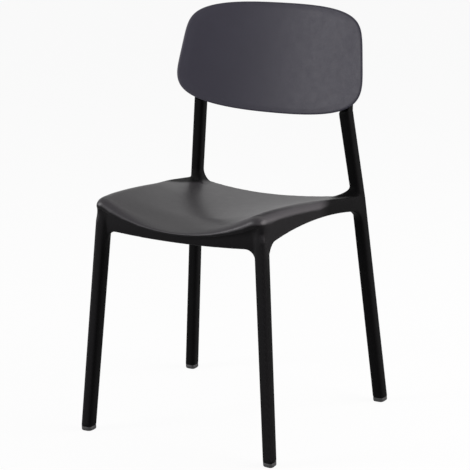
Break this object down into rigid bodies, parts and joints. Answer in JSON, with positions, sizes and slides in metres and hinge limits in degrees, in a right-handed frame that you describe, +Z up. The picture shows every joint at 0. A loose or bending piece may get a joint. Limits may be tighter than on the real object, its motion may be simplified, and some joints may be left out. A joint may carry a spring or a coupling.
{
  "type": "plastic restaurant chair",
  "caption": "Dark grey moulded plastic cafe chair: dished seat with aprons, splayed tapering legs and a curved backrest shell screwed onto two rear posts.",
  "frame": {"origin": "on the floor, at the centre of the chair's outline seen from above", "axes": "+Z up, the sitter faces -Y, +X to the right when the chair is seen from the front"},
  "size_m": [0.4944, 0.4737, 0.8046],
  "materials": {
    "frame_plastic": "fine moulded grain, satin",
    "back_plastic": "fine moulded grain, satin",
    "cover_plastic": "satin",
    "glide_plastic": "smooth nylon",
    "buffer_rubber": "soft matt",
    "insert_brass": "turned",
    "screw_steel": "zinc plated"
  },
  "bodies": {
    "root": {"seat_frame": "frame_plastic", "backrest": "back_plastic", "front_left_glide": "glide_plastic", "front_right_glide": "glide_plastic", "rear_left_glide": "glide_plastic", "rear_right_glide": "glide_plastic", "upper_left_insert": "insert_brass", "upper_right_insert": "insert_brass", "lower_left_insert": "insert_brass", "lower_right_insert": "insert_brass", "upper_left_screw": "screw_steel", "upper_right_screw": "screw_steel", "lower_left_screw": "screw_steel", "lower_right_screw": "screw_steel", "upper_left_washer": "screw_steel", "upper_right_washer": "screw_steel", "lower_left_washer": "screw_steel", "lower_right_washer": "screw_steel", "upper_left_screw_cover": "cover_plastic", "upper_right_screw_cover": "cover_plastic", "lower_left_screw_cover": "cover_plastic", "lower_right_screw_cover": "cover_plastic", "front_left_stack_pad": "buffer_rubber", "front_right_stack_pad": "buffer_rubber", "rear_left_stack_pad": "buffer_rubber", "rear_right_stack_pad": "buffer_rubber"}
  },
  "joints": []
}
